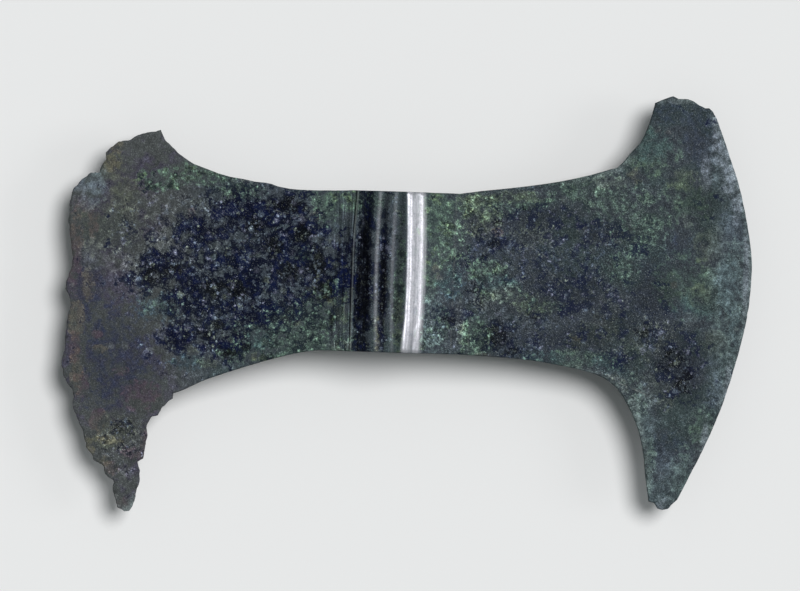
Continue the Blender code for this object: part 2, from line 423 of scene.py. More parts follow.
def clear_of(points, loop, gap):
    """The points that stand at least a gap away from a loop's points."""
    tree = search_tree(loop)
    return np.array([point for point in points if tree.find((*point, 0.0))[2] > gap])


def spread_points(loop, step):
    """The outline's own points, rows just inside it, and then the rows of a face."""
    rows = [loop]
    for inset in RIM_INSETS:
        rows.append(clear_of(loop + inward_of(loop) * inset, loop, inset * INSET_SLACK))
    inside = np.concatenate((blade_points(loop, step), moulding_points(step)))
    rows.append(clear_of(inside, loop, RIM_INSETS[-1] + step / 2))
    return np.concatenate(rows)


top_plan = spread_points(rim, TOP_STEP)
underside_plan = spread_points(rim, UNDERSIDE_STEP)
print(len(top_plan), "points on top and", len(underside_plan), "underneath")

# %% Build the blank
SIDE_ROWS = 9  # of points on the upright side, between the two faces
CDT_EPSILON = 1e-9


def add_face(blank, plan, rim_size, height):
    """Fills the outline with triangles. Returns the ring of new points that lie on the rim."""
    points = [Vector(point) for point in plan]
    corners = list(range(rim_size))
    places, _, triangles, origins, *_ = delaunay_2d_cdt(points, [], [corners], 1, CDT_EPSILON)
    verts = [blank.verts.new((place.x, place.y, height)) for place in places]
    for a, b, c in triangles:
        order = (a, b, c) if height > 0 else (c, b, a)
        blank.faces.new([verts[index] for index in order])
    ring = [None] * rim_size
    for vert, sources in zip(verts, origins):
        for source in sources:
            if source < rim_size:
                ring[source] = vert
    return ring


def join_rings(body, rings):
    """Bands of quads from each ring of points to the next."""
    for near, far in zip(rings, rings[1:]):
        for index in range(len(near)):
            after = (index + 1) % len(near)
            body.faces.new((near[index], far[index], far[after], near[after]))


def add_side(blank, top_ring, underside_ring):
    """Joins the two faces with an upright band of quads."""
    rings = [top_ring]
    for row in range(1, SIDE_ROWS):
        height = 1 - 2 * row / SIDE_ROWS
        rings.append([blank.verts.new((*vert.co.xy, height)) for vert in top_ring])
    join_rings(blank, rings + [underside_ring])


blank = bmesh.new()
add_side(blank, add_face(blank, top_plan, len(rim), 1.0),
         add_face(blank, underside_plan, len(rim), -1.0))
blank_mesh = bpy.data.meshes.new("blank")
blank.to_mesh(blank_mesh)
print("blank of", len(blank.faces), "faces, closed:", all(e.is_manifold for e in blank.edges))
blank.free()

# %% [markdown]
# The rounding of the long corners follows the distance to the outline. That distance is measured
# once, here, and kept on the blank as an attribute, which Geometry Nodes and materials can read.

# %% Measure the distance to the outline
NEAR_RIM = 6 * MM  # further in, the distance no longer matters
SHORTEST = 1e-9  # a shorter piece of outline counts as a point


def distance_to(loop, places):
    """The distance from each place to the outline, up to the limit that matters."""
    tree = search_tree(loop)
    nearest = np.array([tree.find((x, y, 0.0))[1] for x, y in places])
    distance = np.full(len(places), NEAR_RIM)
    for neighbour in (-1, 1):
        start = loop[nearest]
        run = loop[(nearest + neighbour) % len(loop)] - start
        length = np.maximum(np.sum(run * run, axis=1), SHORTEST ** 2)
        share = np.clip(np.sum((places - start) * run, axis=1) / length, 0.0, 1.0)
        gap = np.linalg.norm(places - start - run * share[:, None], axis=1)
        distance = np.minimum(distance, gap)
    return distance


def coordinates(mesh):
    """All of a mesh's points as an array."""
    flat = np.empty(len(mesh.vertices) * 3)
    mesh.vertices.foreach_get("co", flat)
    return flat.reshape(-1, 3)


def keep_on_points(mesh, name, values):
    """Stores one number for each point of a mesh, under a name."""
    attribute = mesh.attributes.new(name, "FLOAT", "POINT")
    attribute.data.foreach_set("value", np.asarray(values, dtype=np.float32))


keep_on_points(blank_mesh, "rim_distance", distance_to(rim, coordinates(blank_mesh)[:, :2]))
print("furthest from the rim:", round(NEAR_RIM / MM, 1), "mm and more")

# %% [markdown]
# The casting's form follows a rule, so Geometry Nodes make it. Each blade tapers in a straight
# line from the moulding's foot to its cutting edge, which is an arc in plan. Across the socket
# runs the moulding: three low ribs, then a stepped flank on either side. Its profile is one Float
# Curve. A modelled profile would do as well, but here each size stays a named input that can be
# changed in the modifier panel.

# %% The moulding's profile
RIB_PITCH = 4.5 * MM
MIDDLE_RIB_HEIGHT = 0.6 * MM
OUTER_RIB_HEIGHT = 0.3 * MM
FLANK = ((0.6 * MM, 14.0), (1.6 * MM, 31.0), (1.7 * MM, 19.0), (1.2 * MM, 31.0), (1.1 * MM, 12.0))
PROFILE_STEPS = 6  # on each half of a rib


def moulding_profile():
    """Half of the moulding from its middle outwards, as places with heights above its grooves."""
    profile = []
    for crest, height in ((0.0, MIDDLE_RIB_HEIGHT), (RIB_PITCH, OUTER_RIB_HEIGHT)):
        first = -PROFILE_STEPS + 1 if crest > 0 else 0
        for step in range(first, PROFILE_STEPS + 1 if crest == 0 else 1):
            swing = math.pi * step / PROFILE_STEPS
            place = crest + step * RIB_PITCH / 2 / PROFILE_STEPS
            profile.append((place, height * (1 + math.cos(swing)) / 2))
    place, height = profile[-1]
    for run, tilt in FLANK:
        place += run
        height -= run * math.tan(math.radians(tilt))
        profile.append((place, height))
    return profile


profile = moulding_profile()
MOULDING_HALF = profile[-1][0]
GROOVE_RISE = -profile[-1][1]
MOULDING_RISE = GROOVE_RISE + MIDDLE_RIB_HEIGHT
BODY_HALF = cad_high.z - MIDDLE_PLANE - MOULDING_RISE
profile_curve = [(x / MOULDING_HALF, (z + GROOVE_RISE) / MOULDING_RISE) for x, z in profile]
print("moulding half", round(MOULDING_HALF / MM, 2), "mm, rising", round(MOULDING_RISE / MM, 2),
      "mm; body", round(2 * BODY_HALF / MM, 2), "mm thick")

# %% A tree that gives the blank its thickness
WANDER_SCALE = 70.0  # waves to the metre
RIB_BOW = 0.60 * MM  # how far the ribs bow along the moulding
BOW_FROM = 2.0 * MM  # ribs left of here bow to +X at their ends
BOW_TO = 4.8 * MM  # flanks right of here bow to +X halfway along

FORM_SIZES = {  # reaches go out to the cutting edges as cast; the drop lowers the worn edge's arc
    "Middle Plane": MIDDLE_PLANE, "Body Half": BODY_HALF, "Edge Half": 0.5 * MM,
    "Arris": 0.6 * MM, "Moulding Half": MOULDING_HALF, "Moulding Rise": MOULDING_RISE,
    "Cast Edge Radius": 104 * MM, "Kept Reach": 101.7 * MM, "Worn Reach": -cad_low.x + 6 * MM,
    "Worn Drop": 4 * MM, "Rib Wander": 0.22 * MM, "Rib Bow": RIB_BOW,
}


def new_tree(name, sizes):
    """A Geometry Nodes tree with a named input for each size. Returns it with its input wires."""
    tree = bpy.data.node_groups.new(name, "GeometryNodeTree")
    tree.interface.new_socket("Geometry", in_out="INPUT", socket_type="NodeSocketGeometry")
    tree.interface.new_socket("Geometry", in_out="OUTPUT", socket_type="NodeSocketGeometry")
    for size in sizes:
        tree.interface.new_socket(size, in_out="INPUT", socket_type="NodeSocketFloat")
    entry = tree.nodes.new("NodeGroupInput")
    return tree, {socket.name: Wire(tree, socket) for socket in entry.outputs if socket.name}


def read_attribute(tree, name):
    return add_node(tree, "GeometryNodeInputNamedAttribute", {"data_type": "FLOAT"},
                    {"Name": name})


def store_attribute(tree, geometry, name, value):
    return add_node(tree, "GeometryNodeStoreNamedAttribute",
                    {"data_type": "FLOAT", "domain": "POINT"},
                    {"Geometry": geometry, "Name": name, "Value": value})


def finish_tree(tree, geometry, material):
    """Ends a tree in Realize Instances and Set Material."""
    real = add_node(tree, "GeometryNodeRealizeInstances", None, {"Geometry": geometry})
    dressed = add_node(tree, "GeometryNodeSetMaterial", None,
                       {"Geometry": real, "Material": material})
    way_out = tree.nodes.new("NodeGroupOutput")
    tree.links.new(dressed.socket, way_out.inputs["Geometry"])


def casting_tree(material):
    """Turns the flat blank into the casting: taper, rounded corners, ribs and stepped flanks."""
    tree, size = new_tree("casting_form", FORM_SIZES)
    position = add_node(tree, "GeometryNodeInputPosition")
    x, y, face = coordinates_of(position)
    kept = x.over(0.0)
    drop = size["Worn Drop"] * (1 - kept)
    reach = size["Worn Reach"] + kept * (size["Kept Reach"] - size["Worn Reach"])
    radius = size["Cast Edge Radius"]
    aside = abs(y + drop).at_most(radius)
    sag = radius - (radius * radius - aside * aside) ** 0.5
    foot = size["Moulding Half"]
    taper = ((abs(x) - foot) / (reach - sag - foot)).at_least(0.0).at_most(1.0)

    wander = noise_in(tree, position, WANDER_SCALE, 1.0)
    flank, end = x.fade(BOW_FROM, BOW_TO), (y / WAIST_HALF) ** 2.0
    bow = size["Rib Bow"] * (flank * (1 - end) + (1 - flank) * end)
    across = abs(x - bow + (wander - 0.5) * 2 * size["Rib Wander"]) / foot
    rib = add_node(tree, "ShaderNodeFloatCurve", {"curve": profile_curve},
                   {"Value": across.at_most(1.0)})
    half = size["Body Half"] + (size["Edge Half"] - size["Body Half"]) * taper
    half = half + rib * size["Moulding Rise"]

    corner = size["Arris"].at_most(half / 2)
    inside = (read_attribute(tree, "rim_distance") / corner).at_most(1.0)
    rounded = corner * (1 - (1 - (1 - inside) ** 2.0).at_least(0.0) ** 0.5)
    height = (size["Middle Plane"] + face * (half - rounded)).at_least(0.0)
    place = add_node(tree, "ShaderNodeCombineXYZ", None, {"X": x, "Y": y, "Z": height})
    measured = store_attribute(tree, size["Geometry"], "half_thickness", half)
    shaped = add_node(tree, "GeometryNodeSetPosition", None,
                      {"Geometry": measured, "Position": place})
    finish_tree(tree, shaped, material)
    return tree


def applied(carrier):
    """The plain mesh that an object's modifiers make."""
    graph = bpy.context.evaluated_depsgraph_get()
    return bpy.data.meshes.new_from_object(carrier.evaluated_get(graph), depsgraph=graph)


def run_tree(mesh, tree, sizes, name):
    """Runs a tree on a mesh and returns the plain mesh that it makes."""
    carrier = add_object(name, mesh)
    modifier = carrier.modifiers.new(name, "NODES")
    modifier.node_group = tree
    for item in tree.interface.items_tree:
        if item.item_type == "SOCKET" and item.in_out == "INPUT" and item.name in sizes:
            modifier[item.identifier] = sizes[item.name]
    made = applied(carrier)
    bpy.data.objects.remove(carrier)
    return made


bronze = bpy.data.materials.new("patinated_bronze")
bronze.use_nodes = True
casting_mesh = run_tree(blank_mesh, casting_tree(bronze), FORM_SIZES, "casting")
casting_box = coordinates(casting_mesh)
print("casting from", np.round(casting_box.min(axis=0) / MM, 2), "to",
      np.round(casting_box.max(axis=0) / MM, 2), "mm")

# %% [markdown]
# The haft hole was left open by a clay core when the head was cast, and it is cut the same way
# here: a core with an oval section, a little wider at both mouths, is taken away by a Boolean.
# The core is divided finely along its length, so that the hole's wall can be weathered too.

# %% Cut the haft hole
HOLE_HALF_LENGTH = 12.0 * MM
SOCKET_WALL = 3.2 * MM
HOLE_HALF_HEIGHT = BODY_HALF + GROOVE_RISE - SOCKET_WALL
HOLE_FLARE = 0.6 * MM
HOLE_FLARE_DEPTH = 1.6 * MM
HOLE_SIDES = 120
HOLE_ROWS = 56
SHARP_CORNER = 38.0  # degrees


def hole_core():
    """The oval core, closed at both ends, standing out past both mouths."""
    beyond = WAIST_HALF + 2 * HOLE_FLARE_DEPTH
    core = bmesh.new()
    rings = []
    for row in range(HOLE_ROWS + 1):
        y = beyond * (2 * row / HOLE_ROWS - 1)
        past_throat = (abs(y) - WAIST_HALF + HOLE_FLARE_DEPTH) / HOLE_FLARE_DEPTH
        wider = HOLE_FLARE * max(0.0, past_throat) ** 1.5
        ring = []
        for side in range(HOLE_SIDES):
            angle = math.tau * side / HOLE_SIDES
            ring.append(core.verts.new((
                (HOLE_HALF_LENGTH + wider) * math.cos(angle), y,
                MIDDLE_PLANE + (HOLE_HALF_HEIGHT + wider) * math.sin(angle))))
        rings.append(ring)
    join_rings(core, rings)
    core.faces.new(rings[0])
    core.faces.new(rings[-1])
    bmesh.ops.recalc_face_normals(core, faces=core.faces)
    mesh = bpy.data.meshes.new("hole_core")
    core.to_mesh(mesh)
    core.free()
    return mesh


def cut_with(mesh, core_mesh):
    """A mesh with a core taken away from it."""
    body = add_object("body", mesh)
    core = add_object("core", core_mesh)
    cut = body.modifiers.new("haft hole", "BOOLEAN")
    cut.operation = "DIFFERENCE"
    cut.solver = "EXACT"
    cut.object = core
    result = applied(body)
    for made in (body, core):
        bpy.data.objects.remove(made)
    return result


bored_mesh = cut_with(casting_mesh, hole_core())
print("bored casting of", len(bored_mesh.polygons), "faces")

# %% [markdown]
# The patina is a map of finishes. Corrosion takes its colour from what lay against the metal, so
# it comes in patches. Each finish below has a short list of soft oval patches, placed from the
# photograph: middle, then the two half widths, in millimetres. They only say roughly where a
# finish lies. The material breaks their borders up with noise, which no drawn outline could match.
# The underside isn't seen in the photograph. It gets the same patches turned over, and fewer.

# %% Place the patches of each finish
PATCHES = {
    # bare: mostly bare dark metal; the long patches at x -7 and -1.4 are painted shade on the
    # moulding's slopes that face -X
    "bare": [
        (-64.5, -1, 7, 7), (-52, -7, 12, 10), (-41, -4, 10, 14), (-29, 3, 14, 17), (-46, -21, 8, 6),
        (-31, 15, 10, 7), (-57, -20, 6, 4), (-20, -1, 7, 9), (-7, -3, 2.6, 26), (-37, -12, 8, 6),
        (-12, 2, 4, 10), (-1.4, 0, 1.2, 16), (-40, 15, 11, 7), (-52, 10, 8, 5),
    ],
    "flecked": [
        (-46, 12, 24, 13), (-55, -4, 16, 22), (-30, -17, 22, 9), (47, 4, 22, 20), (28, 4, 12, 22),
        (32, -17, 14, 8), (72, -22, 14, 12), (66, 14, 10, 12), (-3, 0, 5, 26), (14, -14, 6, 10),
        (-72, -50, 6, 8), (-70, 8, 8, 10), (18, -14, 6, 8),
    ],
    "dusk": [
        (59, 13, 9, 4), (54, -17, 12, 3.5), (52, -3, 16, 9), (30, 8, 7, 4), (63, 8, 8, 3),
        (87, 42, 5, 9), (96.5, 14, 4, 6), (66, -23, 4, 2.5), (82, -23, 8, 9), (79, -48, 7, 5),
        (40, 15, 12, 6), (22, 3, 6, 3), (17, -11, 8, 2.5), (40, -20, 10, 5), (-75, -27, 11, 14),
        (-84, -4, 4, 14), (76, 5, 10, 8), (72, -8, 10, 8), (76, 49, 6, 5), (93, -35, 4, 5),
        (-78, 8, 9, 6), (45, 6, 8, 6),
    ],
    # black: black spots; the long patches at x -6.8 and -1.4 are painted shade on the moulding's
    # slopes that face -X
    "black": [
        (-51, -19, 3, 1.6), (-47, -16, 2, 1.6), (-44, -24, 3, 1.6), (-39, -22, 2, 1.6),
        (-28, 18, 6, 2.5), (-38, 12, 3, 3), (-32, 6, 3, 3), (-20, 2, 3, 5), (-27, -1, 4, 3),
        (-18, -6, 3, 4), (-66, -3, 3, 3), (-60, -1, 3, 2), (-48, -6, 5, 3), (-6.8, -4, 2.2, 24),
        (31, -17, 4, 4), (40, -12, 3, 2), (27, -8, 2, 2), (35, -21, 3, 1.5), (23, -4, 3, 2),
        (38, 19, 1.5, 1.5), (30, 14.5, 2, 1.5), (-71.6, -32.8, 1, 1), (-70.5, -44, 1.4, 1.2),
        (17, -13, 4, 1.5), (-42, -7, 4, 4), (-24, 10, 3, 3), (-74, -46, 2, 2), (80, -22, 6, 4),
        (84, -28, 4, 5), (72, -14, 3, 3),
        (-79, -52.5, 2, 1.2), (-15.5, -14, 1, 3), (29, 9, 3, 2), (26, 6, 2, 2),
        (-1.4, -3, 1.1, 12),
    ],
    # grime: dark grime on the blades; its long patches at x -6.6, -1.2 and 3.2 are painted shade on
    # slopes that face -X
    "grime": [
        (-1.2, 0, 1.5, 22), (3.2, 0, 1.2, 24), (-6.6, -2, 2.6, 22), (54, -17, 11, 3),
        (59, 13, 9, 3.5), (82, -22, 8, 8), (84, -30, 5, 5), (50, -4, 12, 6), (64, -12, 6, 6),
        (31, -17, 5, 5), (45, 17, 10, 3), (66, -23, 4, 2), (88, 22, 5, 5), (17, -11, 6, 2),
        (-13, 0, 3, 12), (74, -4, 6, 6),
    ],
    "green": [
        (-64, 24, 6, 3), (-53, 26, 8, 3), (-18, 18, 3.5, 5), (-27, -19, 14, 6), (-40, -24, 6, 2.5),
        (-19, -13, 7, 6), (-28, -14, 6, 4), (-23.5, 4, 2.5, 2), (-42, 21, 6, 2), (15, 12, 6, 13),
        (-15, -7, 3, 5), (-36, -19, 5, 3),
        (24, 19, 9, 4), (13, -15, 4, 7), (25, -18, 4, 5), (27, 1, 5, 3), (56, 25, 11, 4),
        (70, 15, 7, 8), (72, 36, 7, 6), (52, -23, 10, 2.5), (42, -8, 6, 2), (90, -3, 5, 7),
        (97, -8, 4, 9), (97, 4, 3, 7), (62, 21, 7, 4), (38, 21, 8, 2), (82, 0, 7, 7),
        (3.2, -6, 1.4, 18), (12, -2, 2, 9), (83, 22, 6, 6), (70, -37, 3, 7), (73, -52, 3, 8),
        (84, -56, 3, 8), (90, -42, 4, 6), (-8, 19, 6, 3), (-15, -22, 5, 1.5), (97, -22, 3, 6),
        (65, 3, 5, 4), (32, -5, 6, 3),
    ],
    "teal": [
        (-64, -12, 6, 4), (72, 38, 6, 4), (-36, -20, 4, 3), (30, -2, 5, 2), (62, -24, 5, 2),
        (86, -8, 5, 4), (95, -1, 3, 8), (44, -23, 6, 2), (68, -30, 3, 4), (98, -14, 3, 5),
        (-55, -27, 5, 2), (13, -13, 3, 5), (18, -3, 4, 4),
    ],
    "olive": [
        (-74, 20, 4, 4), (-78, 10, 9, 7), (-80, 27, 5, 4), (-75, -46, 5, 4), (-78, -50, 5, 1.8),
        (-57, -18.5, 2.2, 1.6), (-54, -23, 2, 1.2), (-48, -16, 1.6, 1.6), (-45, -19, 1.6, 1.2),
        (-44, -14, 1.6, 1.6), (-41, -19, 1.5, 1.2), (-49, -27, 3, 1.5), (-58, -22, 2, 1.5),
        (-37, -25, 3, 1.2), (-44, 19, 4, 2), (-15.5, -8, 2, 3), (-37, -15.5, 1.5, 1.5),
        (-12.5, -11, 1.4, 6), (-2, -16, 1.6, 6), (26, 15, 5, 4), (34, 22, 7, 1.6), (53, -18, 3, 2),
        (92, -17, 4, 3), (60, -14, 5, 5), (40, -8, 6, 3), (88, -4, 3, 3), (74, -17, 8, 6),
        (82, 28, 4, 3), (74, -31, 8, 5), (23, 21, 5, 2), (3.2, -14, 1.4, 8), (90, 10, 4, 5),
        (40, 13, 5, 4), (-30, -26, 4, 1),
    ],
    "ochre": [
        (-77.5, 33, 2, 2), (-84, -6, 1.8, 4), (-87, -16, 2, 5), (-82.6, -51, 1.8, 3),
        (-78, -55.6, 1.8, 1.4), (-42, -14, 1.2, 1), (-37, -24.5, 1.6, 1), (53, -17, 1.2, 1),
        (98, -13, 1, 1.2), (-2.2, -18, .8, 5), (-80, -24, 2, 1), (-76, -49.5, 4, 1),
        (-16.5, -8, 1.2, 1.2), (-29, -14, 1.2, 1.2), (-25, -15, 1.2, 1), (68, 29, 2, 2),
        (-86.5, -30, 1.6, 6), (32, -25, 3, .8), (-79, 28, 3, 2),
    ],
    "rust": [
        (-83, 12, 1.4, 4), (-56, 14.5, 1.4, 1.4), (-70, -53.5, 2.8, 2.2), (-72, -67.5, 1.8, 2),
        (-81, -20, 1.4, 1), (-68, -37, 5, 4), (-88, 3, 2, 10), (-21, 15, 1.6, 1.2),
        (13, 1, 1.3, 1.3), (14.4, -1, 1.2, .8), (74, 42, .8, .8), (77, 41.4, 1, .8),
        (80, -1.2, .9, .9), (28, -22.5, 3, .8), (-66, -50, 1.6, 4), (-87, -24, 1.6, 4),
        (-1.8, -9, .8, 2.4), (-25, 13, 1.2, 1), (-74, -30, 2, 1.2), (-85, -34, 2, 3),
        (12, -12, 1.4, 3), (-76, -57, 2, 2), (-80, -44, 2, 3), (-86, 18, 2, 3), (30, 12, 1.5, 1),
    ],
    "mist": [
        (97, 4, 6, 24), (96, -26, 6, 10), (81, -59, 9, 10), (94, 34, 6, 9), (72, -38, 4, 9),
        (-84, 22, 4, 6), (13, -14, 3, 8),
    ],
    "pale": [
        (-62, 7, 1, .8), (-52, 4, 1.2, 1), (-58, -1, .8, .8), (-59, -9, 1, .9), (-67, -8, 1, .9),
        (-77, -23, 1, .8), (-73, -23, 1, .8), (-66, -24, 1, .8), (-26, 13, 1.1, .9),
        (-88.5, -6.5, .6, .6), (-74.6, -65, .7, .7), (-69, -62, .5, .5), (48.5, 21.5, 1.1, 1),
        (56.8, 7.8, .9, .9), (54, -8.6, 1, .8), (58, -12, .9, .8), (45, 9, .9, .7),
        (63, -6, 5, 3), (60, 10.4, 6, 1), (28, -8, 3.5, 2), (33, -5, 4, 2), (63, -27.8, 4, .9),
        (67, -31, 2, .8), (71, -42, .8, 6), (69.5, -36, .8, 4), (73.5, -54, .8, 5),
        (81, 50.5, 3, 1), (-70.5, -69, 2, 1), (-83, 2, 3, 4), (-76, 1, 7, 3), (-66, 5, 4, 3),
        (-40, 24.5, 2, .8), (84, -11, 3, 2), (-13, -21, 4, 1.2), (20, -13, 1.2, 6), (83, 17, 2, 2),
        (-49, 7, 3, 3), (62, 27, 5, 1.5), (80, -64, 4, 3),
    ],
    "rubbed": [
        (88, 30, 1.4, 5), (94.5, 29, 2.2, 5), (97, 22, 1.4, 5), (91, 40, 1.4, 6), (96, -30, 1, 8),
        (100, 2, .8, 12), (90, -46, 1, 7), (79, -64, 4, 2), (93, 35, 2, 4),
    ],
    "bright_rim": [
        (100, 4, 3, 30), (97, -30, 5, 10), (90, -46, 5, 8), (71, -45, 4, 15), (66, -31, 5, 3),
        (57, -27, 9, 3), (64, 34, 6, 4), (58, 27, 10, 3), (97, 30, 4, 10), (-70, -68, 3, 3),
        (78, 51, 6, 2), (92, 44, 3, 6),
    ],
    "scored": [
        (-55, 12, 9, 7), (-40, 6, 7, 4), (-25, -4, 7, 6), (43, 1, 9, 8), (66, -14, 6, 5),
        (-60, 4, 7, 5), (35, 4, 6, 5), (-47, 12, 6, 6), (66, -29, 4, 2),
    ],
}
TURNED_OVER_SHARE = 0.8  # how strong the patches are on the underside
SOFT_BORDER = 0.5  # how far a patch fades on both sides of its border, as a share of its size
TURN_DEPTH = 1 * MM  # on both sides of the middle plane, where the faces' patches meet


def soft_patches(x, y, patches):
    """How far each place lies inside a group of patches: 1 inside, 0.5 at a border."""
    cover = np.zeros_like(x)
    for middle_x, middle_y, half_x, half_y in patches:
        out = np.hypot((x - middle_x * MM) / (half_x * MM), (y - middle_y * MM) / (half_y * MM))
        cover = np.maximum(cover, np.clip(1 + SOFT_BORDER - out, 0.0, 1.0))
    return cover


def map_patches(mesh):
    """Stores each finish on the mesh, for the upper face and, turned over, for the underside."""
    x, y, z = coordinates(mesh).T
    above = rise(z, MIDDLE_PLANE - TURN_DEPTH, MIDDLE_PLANE + TURN_DEPTH)
    for finish, patches in PATCHES.items():
        top = soft_patches(x, y, patches)
        underside = soft_patches(x, -y, patches[::2]) * TURNED_OVER_SHARE
        keep_on_points(mesh, finish, above * top + (1 - above) * underside)


map_patches(bored_mesh)
print(sum(len(patches) for patches in PATCHES.values()), "patches of", len(PATCHES), "finishes")

# %% [markdown]
# Part of the moulding still shows clean metal. The rib crests, on their sides towards +X, and the
# flank that faces +X are burnished. Their bands are laid where the lamps' highlights fall, so their
# light colour is partly painted highlight: two bright bands on the flank, with a dimmer shelf
# between. The grooves and the slopes that face -X, away from the lamps, hold dirt that is partly
# painted shade. This follows the profile and not a patch, so it is worked out from the distance to
# the middle of the moulding. The socket's upright ends and the haft hole have neither, and a look
# at each point's normal leaves them out.

# %% Map the burnished metal and its painted highlights, and the dirt and painted shade
BURNISH_AND_HIGHLIGHT_BANDS = (  # mm across the moulding: from, full from, full to, to; then how clean it is, which also sets how bright its painted highlight is
    (-4.2, -3.5, -3.3, -2.6, 0.12),
    (0.3, 1.0, 1.1, 1.8, 0.11),
    (4.2, 5.1, 8.7, 10.3, 0.50),
    (4.2, 5.2, 5.7, 7.0, 0.92),
    (7.3, 8.3, 8.6, 9.6, 0.96),
)
GROOVE_DIRT_AND_SHADE = (  # the same, for how black the dirt and painted shade are
    (-8.9, -7.6, -5.8, -4.5, 0.60),
    (-2.7, -2.0, -1.3, -0.1, 0.42),
    (2.0, 2.7, 3.2, 4.2, 0.26),
)
SIDE_SLOPE, FACE_SLOPE = 0.25, 0.6  # upright part of a normal: up to it a side, from it a face
DULL_END = -12 * MM  # the bands fade from here to the moulding's end at -Y
DULLED = 0.45  # how much of a band is gone at that end
FLARE = 0.7 * MM  # how much further in the smear of metal starts there


def facing_out(mesh):
    """1 on the upper face and the underside, 0 on the upright sides and in the haft hole."""
    normals = np.empty(len(mesh.vertices) * 3, dtype=np.float32)
    mesh.vertex_normals.foreach_get("vector", normals)
    side = np.sign(coordinates(mesh)[:, 2] - MIDDLE_PLANE)
    return rise(normals.reshape(-1, 3)[:, 2] * side, SIDE_SLOPE, FACE_SLOPE)


def map_bands(mesh, name, bands):
    """Stores bands that run along the moulding, on both faces, from 0 to 1."""
    x, y, _ = coordinates(mesh).T
    flank, end = rise(x, BOW_FROM, BOW_TO), (y / WAIST_HALF) ** 2
    x = x - RIB_BOW * (flank * (1 - end) + (1 - flank) * end)
    dull = rise(y, DULL_END, -WAIST_HALF)
    cover = np.zeros_like(x)
    for *places, strength in bands:
        start, full_start, full_end, stop = (place * MM for place in places)
        smear = FLARE * dull if start > BOW_FROM else 0.0
        band = rise(x, start - smear, full_start - smear) * (1 - rise(x, full_end, stop))
        cover = np.maximum(cover, strength * band * (1 - DULLED * dull))
    keep_on_points(mesh, name, cover * facing_out(mesh))


map_bands(bored_mesh, "burnished", BURNISH_AND_HIGHLIGHT_BANDS)
map_bands(bored_mesh, "groove_dirt", GROOVE_DIRT_AND_SHADE)
print(len(BURNISH_AND_HIGHLIGHT_BANDS), "burnished bands and", len(GROOVE_DIRT_AND_SHADE), "of dirt")

# %% [markdown]
# Burial also left its mark in the form. The surface is faintly uneven from the casting, pitted
# where corrosion bit, and crusted where it grew. A second Geometry Nodes tree moves every point
# inwards along its normal by noise. It only takes metal away, so crust is made by leaving a patch
# standing while the skin around it sinks. Thin edges sink less, or they would turn inside out.

# %% A tree that weathers the surface
WEATHER_SIZES = {
    "Unevenness": 0.16 * MM, "Pit Depth": 0.30 * MM, "Crust Rise": 0.14 * MM,
    "Grain": 0.05 * MM, "Rest Height": 0.02 * MM,
}
WAVE_SCALE = 75.0  # waves to the metre
PIT_SCALE = 330.0
CRUST_SCALE = 480.0
GRAIN_SCALE = 900.0
FULL_DEPTH_HALF = 3.0 * MM  # half thickness from which the metal can lose the full depth
SIDE_SHARE = 0.2  # of the depth, for the upright sides, so that the outline stays true
MOULDING_SHARE = 0.15  # of the depth, for the moulding, which was polished
PITTED = (0.56, 0.72)  # from which pit noise a pit starts, and is full
PITS_MORE = 0.06  # added to that noise on the worn blade and on black patches
CRUSTED = (0.45, 0.75)  # the same for crust
CRUST_RAGGED = 1.2  # how much its noise shifts a crust's border
BARE_LESS = 0.3  # crust that bare patches lack


def weather_tree(material):
    """Wears the casting down by noise, with pits and standing crust."""
    tree, size = new_tree("burial_weathering", WEATHER_SIZES)
    position = add_node(tree, "GeometryNodeInputPosition")
    normal = add_node(tree, "GeometryNodeInputNormal")
    x, _, z = coordinates_of(position)
    worn = 1 - x.fade(-60 * MM, -15 * MM)
    smooth_metal = 1 - abs(x).fade(MOULDING_HALF, MOULDING_HALF + 2 * MM)
    bare, black, olive, green, pale, ochre = (
        read_attribute(tree, name) for name in ("bare", "black", "olive", "green", "pale", "ochre"))

    waves = noise_in(tree, position, WAVE_SCALE, 2.0)
    pit_noise = noise_in(tree, position, PIT_SCALE, 3.0, 0.6)
    pits = (pit_noise + worn * PITS_MORE + black * PITS_MORE).fade(*PITTED)
    crust_noise = noise_in(tree, position, CRUST_SCALE, 3.0, 0.6)
    crusty = olive.at_least(green).at_least(pale).at_least(ochre) - bare * BARE_LESS
    crust = (crusty + (crust_noise - 0.5) * CRUST_RAGGED).fade(*CRUSTED)
    grain = noise_in(tree, position, GRAIN_SCALE, 1.0)

    depth = size["Unevenness"] * waves + size["Pit Depth"] * pits
    depth = depth + size["Crust Rise"] * (1 - crust) + size["Grain"] * grain
    depth = depth * (1 - smooth_metal * (1 - MOULDING_SHARE))
    thin = (read_attribute(tree, "half_thickness") / FULL_DEPTH_HALF).at_most(1.0)
    depth = depth * (SIDE_SHARE + (1 - SIDE_SHARE) * abs(coordinates_of(normal)[2]))
    resting = z.over(size["Rest Height"])
    step = scaled(normal, -(depth * thin * resting))
    kept = store_attribute(tree, size["Geometry"], "pits", pits * (1 - smooth_metal))
    kept = store_attribute(tree, kept, "crust", crust)
    sunk = add_node(tree, "GeometryNodeSetPosition", None, {"Geometry": kept, "Offset": step})
    finish_tree(tree, sunk, material)
    return tree


head_mesh = run_tree(bored_mesh, weather_tree(bronze), WEATHER_SIZES, "weathering")
head_mesh.name = "axe_head_buried"
head_mesh.shade_smooth()
head_mesh.set_sharp_from_angle(angle=math.radians(SHARP_CORNER))
head = add_object("bronze_double_axe_head", head_mesh)
head_mesh.calc_loop_triangles()
print("weathered head of", len(head_mesh.loop_triangles), "triangles")

# %% [markdown]
# Now the finish. Colours are written as they look on a screen and turned into the linear values
# that shaders work with. Two helpers do all the painting: one lays a colour over another, and the
# one that scales places also makes a colour lighter or darker.

# %% Colours of the patina
def paint(red, green, blue):
    """A screen colour, from 0 to 255, as the linear colour that a shader needs."""
    def linear(level):
        share = level / 255
        return share / 12.92 if share <= 0.04045 else ((share + 0.055) / 1.055) ** 2.4
    return linear(red), linear(green), linear(blue), 1.0


